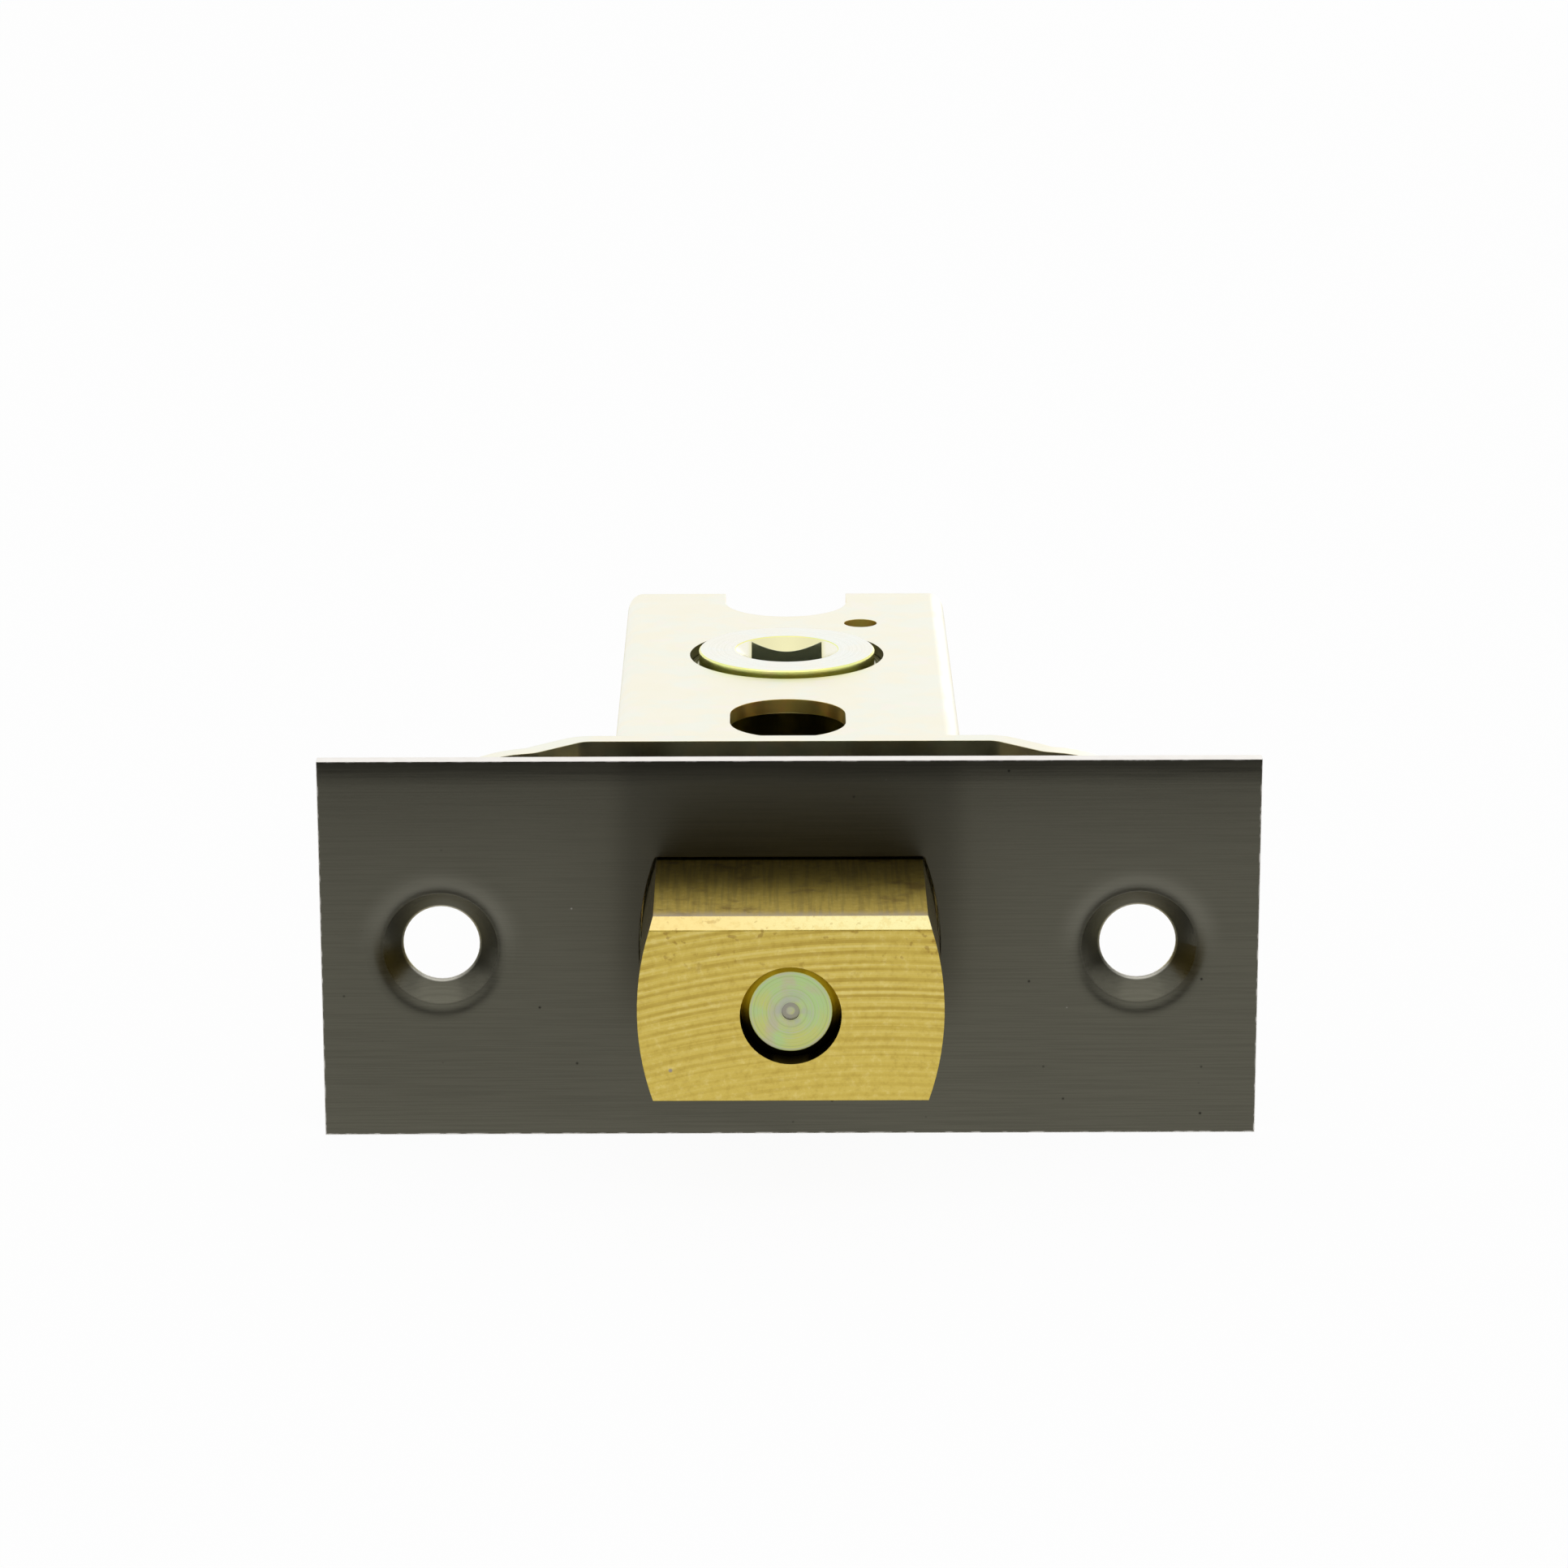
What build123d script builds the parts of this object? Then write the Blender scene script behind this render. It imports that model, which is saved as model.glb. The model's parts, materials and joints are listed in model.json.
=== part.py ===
"""Tubular deadbolt with a brass bolt, a square spindle hub and through-bolt fixings.

Millimetres. +X runs along the forend, +Y into the door, +Z along the spindle.
The origin is the centre of the outer forend's front face. The bolt is modelled thrown.
"""
import os
from math import acos, atan2, cos, degrees, hypot, sin, sqrt

from build123d import *

# Outer forend: thin decorative plate with two pressed countersinks
forend_length = 60.0
forend_height = 25.0
forend_thickness = 1.0
screw_end_distance = 7.65
screw_hole_diameter = 4.9
screw_hole_land = 0.2
countersink_diameter = 7.5
dimple_diameter = 9.7
dimple_sink = 0.2
dimple_wall = 0.78
dimple_lip = 0.45
aperture_corner = 0.25

# Inner forend: joggled strip with round ends, staked to the case
inner_end_inset = 1.5
inner_thickness = 1.3
forend_gap = 0.9
joggle_margin = 1.5
joggle_run = 3.1
joggle_depth = 2.8
joggle_bend = 1.2

# Case: folded shell closed by a flat cover
case_wall = 1.0
case_bend = 1.15
case_behind_hub = 18.0
flap_setback = 0.35
flap_bend = 1.0
stake_tab_width = 4.0
stake_tab_spacing = 11.0
stake_height = 0.4
edge_tab_length = 5.0
edge_tab_pitch = 19.0
edge_tab_count = 3

# Spindle axis, and the through-bolt fixings measured from it
backset = 44.0
slot_width = 7.9
slot_length = 10.0
slot_to_hub = 17.4
notch_width = 8.9
notch_to_hub = 11.0

# Brass bolt, with flats above and below its axis, and its hardened core pin
bolt_width = 19.0
bolt_above = 5.99
bolt_below = 5.76
bolt_side_radius = 18.0
bolt_chamfer = 0.72
bolt_throw = 13.0
core_hole_diameter = 6.3
core_floor = 1.2
core_pin_recess = 0.9
core_pin_chamfer = 0.52
core_pip_diameter = 1.1
core_pip_depth = 0.15

# Steel tail fixed in the back of the bolt by two rivets, with two talons for the crank pin
tail_thickness = 2.0
tail_inset = 6.0
talon_thickness = 2.0
talon_drop = 3.0
talon_bend = 0.6
rivet_diameter = 3.0
rivet_spacing = 11.0

# Hub with a square spindle hole, turning in the two case plates
spindle_square = 5.0
spindle_lead_in = 7.4
spindle_lead_in_depth = 2.6
hub_hole_diameter = 13.8
hub_boss_gap = 0.65
hub_boss_proud = 0.4
hub_boss_chamfer = 0.1
hub_groove_depth = 0.75
hub_flange_lip = 0.5
hub_neck_wall = 0.66
crank_offset = 4.5
crank_pin_diameter = 1.9
crank_ear_radius = 1.35

# Hairpin detent spring on its post
post_offset = 5.4
post_diameter = 2.3
post_spigot_diameter = 1.6
post_recess = 0.7
spring_wire = 0.8
spring_wire_side_count = 6
spring_full_turns = 2
spring_pitch = 0.9
spring_leg = 12.5
spring_heel = 2.0
spring_foot_run = 3.0
spring_bend = 1.0

# Clearances
aperture_clearance = 0.15
guide_clearance = 0.12
wall_clearance = 1.2
bolt_headroom = 1.11
running_clearance = 0.05
press_clearance = 0.02
tab_clearance = 0.05
hub_float = 0.15
passing_gap = 0.4
leg_clearance = 0.3
talon_clearance = 0.12
spring_clearance = 1.1

# Crank: the pin swings evenly to both sides of the hub and moves the bolt by its throw
crank_radius = hypot(crank_offset, bolt_throw / 2)
crank_half_turn = atan2(bolt_throw / 2, crank_offset)
slide_per_radian = bolt_throw / 2 / crank_half_turn
widest_angle = acos(slide_per_radian / crank_radius)
uneven_travel = crank_radius * sin(widest_angle) - slide_per_radian * widest_angle
crank_y = backset - bolt_throw / 2

# Case places: the shell clears the bolt's sides and the swing of the crank's ear
inner_length = forend_length - 2 * inner_end_inset
inner_end_front = forend_thickness + forend_gap
inner_centre_front = inner_end_front + joggle_depth
case_front = inner_centre_front + inner_thickness
case_end = backset + case_behind_hub
case_length = case_end - case_front
case_middle = (case_front + case_end) / 2
plate_inside = max(bolt_above, bolt_below) + bolt_headroom
case_top = plate_inside + case_wall
case_height = 2 * case_top
wall_inside = max(bolt_width / 2, crank_radius + crank_ear_radius) + wall_clearance
case_width = 2 * (wall_inside + case_wall)
joggle_flat = case_width + 2 * joggle_margin
stake_tab_z = case_top - case_wall / 2
edge_tab_x = wall_inside + case_wall / 2
notch_depth = case_wall + 2 * tab_clearance
slot_y = backset - slot_to_hub
notch_radius = notch_width / 2
notch_y = backset + notch_to_hub + notch_radius

# Hub levels and radii
spindle_corner = spindle_square / sqrt(2)
neck_radius = spindle_corner + hub_neck_wall
flange_radius = hub_hole_diameter / 2 + hub_flange_lip
journal_radius = hub_hole_diameter / 2 - running_clearance
boss_radius = hub_hole_diameter / 2 - hub_boss_gap
tail_top = tail_thickness / 2
talon_bottom = -tail_top - talon_drop
upper_flange_bottom = tail_top + passing_gap
lower_flange_top = talon_bottom - passing_gap
hub_shoulder = plate_inside - hub_float
hub_top = case_top + hub_boss_proud
journal_top = case_top - hub_groove_depth

# Bolt and tail places: nothing of them crosses the through-bolt slot at any point of the throw,
# and the core bore is centred on the flat of the front face, under the chamfer
bolt_front = -bolt_throw
bolt_height = bolt_above + bolt_below
bolt_back = slot_y - slot_length / 2 - passing_gap - bolt_throw
tail_front = bolt_back - tail_inset
core_bottom = tail_front - core_floor
core_level = (bolt_above - bolt_chamfer - bolt_below) / 2
core_pin_radius = core_hole_diameter / 2 - running_clearance
rivet_y = (tail_front + bolt_back) / 2
leg_inside = max(neck_radius, slot_width / 2) + leg_clearance
leg_outside = min(bolt_width / 2, wall_inside - leg_clearance)
leg_middle = (leg_inside + leg_outside) / 2
leg_width = leg_outside - leg_inside
talon_gap = crank_pin_diameter + 2 * (uneven_travel + talon_clearance)
rear_talon_y = crank_y + talon_gap / 2
front_talon_y = crank_y - talon_gap / 2 - talon_thickness
tail_back = rear_talon_y + talon_thickness

# Spring places: its long leg lies on a flat of the hub at each end of the turn
spring_radius = post_diameter / 2 + running_clearance + spring_wire / 2
spring_outer = spring_radius + spring_wire / 2
post_y = backset + sqrt((flange_radius + spring_outer + spring_clearance) ** 2 - post_offset**2)
hub_flat = post_y - spring_outer - backset - running_clearance
spring_bottom = upper_flange_bottom + spring_wire
spring_height = (spring_full_turns + 0.25) * spring_pitch
spring_foot_x = wall_inside - spring_wire / 2 - running_clearance
short_leg_back = post_y - spring_outer - passing_gap - bolt_throw

# Pressed countersink: the back of its cone seats in the inner forend's hole
screw_spacing = forend_length - 2 * screw_end_distance
dimple_radius = dimple_diameter / 2
countersink_radius = countersink_diameter / 2
screw_hole_radius = screw_hole_diameter / 2
cone_depth = countersink_radius - screw_hole_radius + dimple_sink
cone_back = countersink_radius + dimple_sink + dimple_wall * sqrt(2)
inner_hole_radius = cone_back - inner_end_front + running_clearance

INTO_DOOR = (0, 1, 0)
TO_VIEWER = (0, -1, 0)


def front_plane(depth):
    """Plane facing the viewer at a depth behind the forend's front face."""
    return Plane.XZ.offset(-depth)


def bolt_outline(grow):
    """Draw the bolt's section, with round sides and two flats, grown by a clearance."""
    side = bolt_width / 2 + grow
    top = bolt_above + grow
    bottom = -bolt_below - grow
    radius = bolt_side_radius + grow
    top_x = side - radius + sqrt(radius**2 - top**2)
    bottom_x = side - radius + sqrt(radius**2 - bottom**2)
    with BuildLine() as outline:
        Line((-top_x, top), (top_x, top))
        ThreePointArc((top_x, top), (side, 0), (bottom_x, bottom))
        Line((bottom_x, bottom), (-bottom_x, bottom))
        ThreePointArc((-bottom_x, bottom), (-side, 0), (-top_x, top))
    make_face(outline.edges())


def fixing_openings():
    """Draw what is cut out of both case plates: through-bolt slot, hub hole and rear notch."""
    with Locations((0, slot_y)):
        SlotOverall(slot_length, slot_width, rotation=90)
    with Locations((0, backset)):
        Circle(hub_hole_diameter / 2)
    with Locations((0, notch_y)):
        Circle(notch_radius)
        Rectangle(notch_width, case_behind_hub, align=(Align.CENTER, Align.MIN))


def save(piece, name):
    """Label a finished piece and write it."""
    piece.part.label = name
    export_step(piece.part, f"parts/{name}.step")


os.makedirs("parts", exist_ok=True)

# Outer forend
with BuildPart() as outer_forend:
    with BuildSketch(Plane.XZ):
        Rectangle(forend_length, forend_height)
        with GridLocations(screw_spacing, 0, 2, 1):
            Circle(dimple_radius, mode=Mode.SUBTRACT)
    extrude(amount=forend_thickness, dir=INTO_DOOR)
    for screw_x in (-screw_spacing / 2, screw_spacing / 2):
        with BuildSketch(Plane((screw_x, 0, 0))):
            with BuildLine():
                TangentArc((dimple_radius, 0), (countersink_radius, dimple_sink), tangent=(-1, 0))
                Polyline(
                    (countersink_radius, dimple_sink),
                    (screw_hole_radius, cone_depth),
                    (screw_hole_radius, cone_depth + screw_hole_land),
                    (screw_hole_radius + dimple_lip, cone_back - screw_hole_radius - dimple_lip),
                    (cone_back - forend_thickness, forend_thickness),
                    (dimple_radius, forend_thickness),
                    (dimple_radius, 0),
                )
            make_face()
        revolve(axis=Axis((screw_x, 0, 0), INTO_DOOR))
    with BuildSketch(Plane.XZ) as aperture:
        bolt_outline(aperture_clearance)
        fillet(aperture.vertices(), aperture_corner)
    extrude(amount=forend_thickness, dir=INTO_DOOR, mode=Mode.SUBTRACT)
save(outer_forend, "outer_forend")

# Inner forend
with BuildPart() as inner_forend:
    with BuildSketch(Plane.XY):
        with BuildLine():
            strip = FilletPolyline(
                (-inner_length / 2, inner_end_front),
                (-joggle_flat / 2 - joggle_run, inner_end_front),
                (-joggle_flat / 2, inner_centre_front),
                (joggle_flat / 2, inner_centre_front),
                (joggle_flat / 2 + joggle_run, inner_end_front),
                (inner_length / 2, inner_end_front),
                radius=joggle_bend,
            )
            offset(strip, amount=inner_thickness, side=Side.LEFT)
        make_face()
    extrude(amount=forend_height / 2, both=True)
    with BuildSketch(Plane.XZ):
        SlotOverall(inner_length, forend_height)
    extrude(amount=case_front, dir=INTO_DOOR, mode=Mode.INTERSECT)
    with BuildSketch(Plane.XZ) as guide:
        bolt_outline(guide_clearance)
        fillet(guide.vertices(), aperture_corner)
        with GridLocations(screw_spacing, 0, 2, 1):
            Circle(inner_hole_radius)
        with GridLocations(stake_tab_spacing, 2 * stake_tab_z, 2, 2):
            Rectangle(stake_tab_width + 2 * tab_clearance, case_wall + 2 * tab_clearance)
    extrude(amount=case_front, dir=INTO_DOOR, mode=Mode.SUBTRACT)
save(inner_forend, "inner_forend")

# Case shell: top plate, side walls and two rear flaps folded from one sheet
with BuildPart() as case_shell:
    with BuildSketch(front_plane(case_front)) as section:
        with Locations((0, case_wall / 2)):
            Rectangle(case_width, case_height - case_wall)
        fillet(section.vertices().group_by(Axis.Y)[-1], case_bend)
    extrude(amount=case_length, dir=INTO_DOOR)
    with BuildSketch(Plane.XY.offset(-case_top)) as plan:
        with Locations((0, case_middle)):
            Rectangle(case_width, case_length)
        fillet(plan.vertices().group_by(Axis.Y)[-1], flap_bend)
    extrude(amount=case_height, mode=Mode.INTERSECT)
    with BuildSketch(front_plane(case_front)) as cavity:
        Rectangle(2 * wall_inside, 2 * plate_inside)
        fillet(cavity.vertices().group_by(Axis.Y)[-1], case_bend - case_wall)
    extrude(amount=case_length - case_wall, dir=INTO_DOOR, mode=Mode.SUBTRACT)
    with BuildSketch(front_plane(case_front)):
        Rectangle(notch_width + 2 * flap_setback, 2 * plate_inside)
    extrude(amount=case_length, dir=INTO_DOOR, mode=Mode.SUBTRACT)
    with BuildSketch(Plane.XY.offset(plate_inside)):
        fixing_openings()
        with Locations((post_offset, post_y)):
            Circle(post_diameter / 2 + running_clearance)
    extrude(amount=case_wall, mode=Mode.SUBTRACT)
    with BuildSketch(Plane.XY.offset(-plate_inside)):
        with Locations((0, case_middle)):
            with GridLocations(2 * edge_tab_x, edge_tab_pitch, 2, edge_tab_count):
                Rectangle(case_wall, edge_tab_length)
    extrude(amount=-case_wall)
    with BuildSketch(front_plane(case_front)):
        with Locations((0, stake_tab_z)):
            with GridLocations(stake_tab_spacing, 0, 2, 1):
                Rectangle(stake_tab_width, case_wall)
    extrude(amount=inner_thickness + stake_height, dir=TO_VIEWER)
save(case_shell, "case_shell")

# Case cover: flat plate held by the shell's edge tabs
with BuildPart() as case_cover:
    with BuildSketch(Plane.XY.offset(-case_top)) as plate:
        with Locations((0, case_middle)):
            Rectangle(case_width, case_length)
            fillet(plate.vertices().group_by(Axis.Y)[-1], flap_bend)
            with GridLocations(2 * edge_tab_x, edge_tab_pitch, 2, edge_tab_count):
                Rectangle(notch_depth, edge_tab_length + 2 * tab_clearance, mode=Mode.SUBTRACT)
    extrude(amount=case_wall)
    with BuildSketch(Plane.XY.offset(-case_top)):
        fixing_openings()
        with Locations((post_offset, post_y)):
            Circle(post_spigot_diameter / 2 + press_clearance)
    extrude(amount=case_wall, mode=Mode.SUBTRACT)
    with BuildSketch(front_plane(case_front)):
        with Locations((0, -stake_tab_z)):
            with GridLocations(stake_tab_spacing, 0, 2, 1):
                Rectangle(stake_tab_width, case_wall)
    extrude(amount=inner_thickness + stake_height, dir=TO_VIEWER)
save(case_cover, "case_cover")

# Bolt: brass bar with round sides, a chamfered top edge, a core bore and a slot for the tail
with BuildPart() as bolt:
    with BuildSketch(front_plane(bolt_front)):
        bolt_outline(0)
    extrude(amount=bolt_back - bolt_front, dir=INTO_DOOR)
    chamfer(bolt.faces().sort_by(Axis.Y)[0].edges().sort_by(Axis.Z)[-1], bolt_chamfer)
    with BuildSketch(front_plane(bolt_front)):
        with Locations((0, core_level)):
            Circle(core_hole_diameter / 2)
    extrude(amount=core_bottom - bolt_front, dir=INTO_DOOR, mode=Mode.SUBTRACT)
    with BuildSketch(front_plane(tail_front - press_clearance)):
        Rectangle(bolt_width, tail_thickness + 2 * press_clearance)
    extrude(amount=tail_inset + press_clearance, dir=INTO_DOOR, mode=Mode.SUBTRACT)
    with BuildSketch(Plane.XY.offset(-bolt_below)):
        with Locations((0, rivet_y)):
            with GridLocations(rivet_spacing, 0, 2, 1):
                Circle(rivet_diameter / 2)
    extrude(amount=bolt_height, mode=Mode.SUBTRACT)
save(bolt, "bolt")

# Core pin: hardened roller in the bolt's bore, with a turned end and a centre dimple
with BuildPart() as core_pin:
    with BuildSketch(front_plane(bolt_front + core_pin_recess)):
        with Locations((0, core_level)):
            Circle(core_pin_radius)
    extrude(amount=core_bottom - bolt_front - core_pin_recess, dir=INTO_DOOR)
    chamfer(core_pin.faces().sort_by(Axis.Y)[0].edges(), core_pin_chamfer)
    with BuildSketch(front_plane(bolt_front + core_pin_recess)):
        with Locations((0, core_level)):
            Circle(core_pip_diameter / 2)
    extrude(amount=core_pip_depth, dir=INTO_DOOR, mode=Mode.SUBTRACT)
save(core_pin, "core_pin")

# Tail: fork plate whose long leg carries two talons turned down around the crank pin
with BuildPart() as tail:
    with BuildSketch(Plane.XY.offset(-tail_top)):
        with Locations((0, tail_front)):
            Rectangle(2 * leg_outside, tail_inset, align=(Align.CENTER, Align.MIN))
        with Locations((-leg_middle, tail_front)):
            Rectangle(leg_width, tail_back - tail_front, align=(Align.CENTER, Align.MIN))
        with Locations((leg_middle, tail_front)):
            Rectangle(leg_width, short_leg_back - tail_front, align=(Align.CENTER, Align.MIN))
        with Locations((0, rivet_y)):
            with GridLocations(rivet_spacing, 0, 2, 1):
                Circle(rivet_diameter / 2, mode=Mode.SUBTRACT)
    extrude(amount=tail_thickness)
    with BuildSketch(Plane.XY.offset(talon_bottom)):
        for talon_y in (front_talon_y, rear_talon_y):
            with Locations((-leg_middle, talon_y)):
                Rectangle(leg_width, talon_thickness, align=(Align.CENTER, Align.MIN))
    extrude(amount=talon_drop + tail_top)
    fillet(tail.edges().filter_by(Axis.X).group_by(Axis.Y)[-1].sort_by(Axis.Z)[-1], talon_bend)
save(tail, "tail")

# Tail rivets: flush through the bolt and the tail
with BuildPart() as tail_rivets:
    with BuildSketch(Plane.XY.offset(-bolt_below)):
        with Locations((0, rivet_y)):
            with GridLocations(rivet_spacing, 0, 2, 1):
                Circle(rivet_diameter / 2 - press_clearance)
    extrude(amount=bolt_height)
save(tail_rivets, "tail_rivets")

# Hub: turned body with a boss at each end, a neck between two flanges and a crank ear
with BuildPart() as hub:
    with BuildSketch(front_plane(backset)):
        with BuildLine():
            Polyline(
                (0, hub_top),
                (boss_radius - hub_boss_chamfer, hub_top),
                (boss_radius, hub_top - hub_boss_chamfer),
                (boss_radius, journal_top),
                (journal_radius, journal_top),
                (journal_radius, hub_shoulder),
                (flange_radius, hub_shoulder),
                (flange_radius, upper_flange_bottom),
                (neck_radius, upper_flange_bottom),
                (neck_radius, lower_flange_top),
                (flange_radius, lower_flange_top),
                (flange_radius, -hub_shoulder),
                (journal_radius, -hub_shoulder),
                (journal_radius, -journal_top),
                (boss_radius, -journal_top),
                (boss_radius, hub_boss_chamfer - hub_top),
                (boss_radius - hub_boss_chamfer, -hub_top),
                (0, -hub_top),
                (0, hub_top),
            )
        make_face()
    revolve(axis=Axis((0, backset, 0), (0, 0, 1)))
    with BuildSketch(Plane.XY.offset(-hub_shoulder)):
        with Locations((-crank_offset / 2, backset - bolt_throw / 4)):
            SlotCenterToCenter(crank_radius, 2 * crank_ear_radius, rotation=degrees(crank_half_turn))
    extrude(amount=lower_flange_top + hub_shoulder)
    with BuildSketch(Plane.XY.offset(-hub_shoulder)):
        with Locations((-crank_offset, crank_y)):
            Circle(crank_pin_diameter / 2 + press_clearance)
    extrude(amount=lower_flange_top + hub_shoulder, mode=Mode.SUBTRACT)
    for flat_turn in (0, 2 * crank_half_turn):
        along_flat = (cos(flat_turn), sin(flat_turn), 0)
        with BuildSketch(Plane((0, backset, upper_flange_bottom), x_dir=along_flat)):
            with Locations((0, hub_flat)):
                Rectangle(2 * flange_radius, flange_radius, align=(Align.CENTER, Align.MIN))
        extrude(amount=hub_shoulder - upper_flange_bottom, mode=Mode.SUBTRACT)
    with BuildSketch(Plane.XY.offset(-hub_top)):
        with Locations((0, backset)):
            Rectangle(spindle_square, spindle_square)
    extrude(amount=2 * hub_top, mode=Mode.SUBTRACT)
    for end in (-1, 1):
        with BuildSketch(front_plane(backset)):
            with BuildLine():
                Polyline(
                    (0, end * hub_top),
                    (spindle_lead_in / 2, end * hub_top),
                    (0, end * (hub_top - spindle_lead_in_depth)),
                    (0, end * hub_top),
                )
            make_face()
        revolve(axis=Axis((0, backset, 0), (0, 0, 1)), mode=Mode.SUBTRACT)
save(hub, "hub")

# Crank pin: pressed in the hub's ear, standing up between the talons
with BuildPart() as crank_pin:
    with BuildSketch(Plane.XY.offset(-hub_shoulder)):
        with Locations((-crank_offset, crank_y)):
            Circle(crank_pin_diameter / 2)
    extrude(amount=hub_shoulder - tail_top - passing_gap)
save(crank_pin, "crank_pin")

# Detent post: staked in the cover and held in the shell's hole
with BuildPart() as detent_post:
    with BuildSketch(Plane.XY.offset(-plate_inside)):
        with Locations((post_offset, post_y)):
            Circle(post_diameter / 2)
    extrude(amount=plate_inside + case_top - post_recess)
    with BuildSketch(Plane.XY.offset(-case_top)):
        with Locations((post_offset, post_y)):
            Circle(post_spigot_diameter / 2)
    extrude(amount=case_wall)
save(detent_post, "detent_post")

# Detent spring: hairpin wound on the post, one leg on the hub and one on the side wall
with BuildPart() as detent_spring:
    with BuildLine() as wire_path:
        coil = Helix(
            spring_pitch,
            spring_height,
            spring_radius,
            center=(post_offset, post_y, spring_bottom),
            lefthand=True,
        )
        heel = coil @ 0 - (coil % 0) * spring_heel
        FilletPolyline((spring_foot_x, heel.Y + spring_foot_run, heel.Z), heel, coil @ 0, radius=spring_bend)
        Line(coil @ 1, coil @ 1 + (coil % 1) * spring_leg)
    with BuildSketch(Plane(origin=coil @ 0, z_dir=coil % 0)):
        RegularPolygon(spring_wire / 2, spring_wire_side_count)
    sweep(path=wire_path.line)
save(detent_spring, "detent_spring")
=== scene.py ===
"""Finishes, light and camera for the tubular deadbolt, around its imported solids.

Metres, in the part's own frame: +X along the forend, +Y into the door, +Z along the spindle.
Finishes are laid out in millimetres of the same frame, so marks stay on the piece as it moves.
"""
import json
from math import cos, pi, radians, sin

import bpy
from mathutils import Matrix, Vector


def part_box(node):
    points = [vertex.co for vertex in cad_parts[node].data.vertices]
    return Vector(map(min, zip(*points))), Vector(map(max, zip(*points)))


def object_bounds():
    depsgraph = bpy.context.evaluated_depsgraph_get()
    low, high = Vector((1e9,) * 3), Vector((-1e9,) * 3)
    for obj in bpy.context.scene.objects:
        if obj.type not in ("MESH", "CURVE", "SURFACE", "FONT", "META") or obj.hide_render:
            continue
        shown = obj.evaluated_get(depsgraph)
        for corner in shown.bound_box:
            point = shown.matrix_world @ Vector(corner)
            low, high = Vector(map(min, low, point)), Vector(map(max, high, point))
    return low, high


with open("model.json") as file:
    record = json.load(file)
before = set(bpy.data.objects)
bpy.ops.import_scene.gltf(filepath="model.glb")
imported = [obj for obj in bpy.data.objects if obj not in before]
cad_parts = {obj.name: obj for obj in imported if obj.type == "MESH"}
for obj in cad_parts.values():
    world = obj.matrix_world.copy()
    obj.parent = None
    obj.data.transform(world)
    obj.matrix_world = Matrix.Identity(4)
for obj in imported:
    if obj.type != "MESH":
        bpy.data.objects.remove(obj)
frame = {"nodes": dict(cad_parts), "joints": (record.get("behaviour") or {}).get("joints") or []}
cad_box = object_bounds()

MM = 0.001

# Camera, worked out from the forend's corners, the bolt and the case in a square picture
CAMERA_PLACE_MM = (-1.379, -335.538, 106.085)
CAMERA_AZIMUTH = 0.176
CAMERA_ELEVATION = 15.829
CAMERA_ROLL = -0.115
CAMERA_LENS_MM = 126.22
SENSOR_MM = 36.0

# Places on the part that the finishes follow
FOREND_HALF_LENGTH_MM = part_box("outer_forend")[1].x / MM
FOREND_HALF_HEIGHT_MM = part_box("outer_forend")[1].z / MM
BOLT_FRONT_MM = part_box("bolt")[0].y / MM
BOLT_TOP_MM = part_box("bolt")[1].z / MM
PIN_LEVEL_MM = (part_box("core_pin")[0].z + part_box("core_pin")[1].z) / 2 / MM
CASE_FRONT_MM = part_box("inner_forend")[1].y / MM
HUB_BOSS_RADIUS_MM = 6.25
SPINDLE_CORNER_MM = 3.6
SCREW_PLACE_MM = 22.35
COUNTERSINK_RADIUS_MM = 3.75
SCREW_HOLE_RADIUS_MM = 2.45
CUTTER_CENTRE_MM = (5.4, -57.0)
CUTTER_FEED_MM = 0.62
NICK_PLACE_MM = (-7.45, -3.77)
CASE_TOP_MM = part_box("case_shell")[1].z / MM
CASE_HALF_WIDTH_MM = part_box("case_shell")[1].x / MM
CASE_END_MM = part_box("case_shell")[1].y / MM
SPINDLE_PLACE_MM = next(j for j in frame["joints"] if j["name"] == "hub_turn")["pos_m"][1] / MM
FLOOR_MM = cad_box[0].z / MM

# Rounding of the sharp edges, as stamping, tumbling and plating leave them, and of the forend's rolled ones
EDGE_ROUNDING_MM = 0.07
LONG_EDGE_ROLL_MM = 1.7
END_EDGE_ROLL_MM = 0.9
COUNTERSINK_LIP_MM = 1.2

# Studio, in metres and watts
WORLD_ON_PART = 0.75
WORLD_SEEN = 1.0
FLOOR_REACH = 3.0
FLOOR_GLOW = 0.95
CARD_HALF_WIDTH = 0.4
CARD_PLACE = -0.024
CARD_BOTTOM = 0.007
CARD_TOP = 0.024
OVERHEAD = {"place": (0.0, -0.12, 0.55), "target": (0.0, 0.02, 0.0), "size": (0.7, 0.34), "power": 0.32}
BEHIND_RIGHT = {"place": (0.17, 0.62, 0.07), "target": (0.0, 0.03, 0.0), "size": (0.20, 0.16), "power": 0.06}


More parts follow.
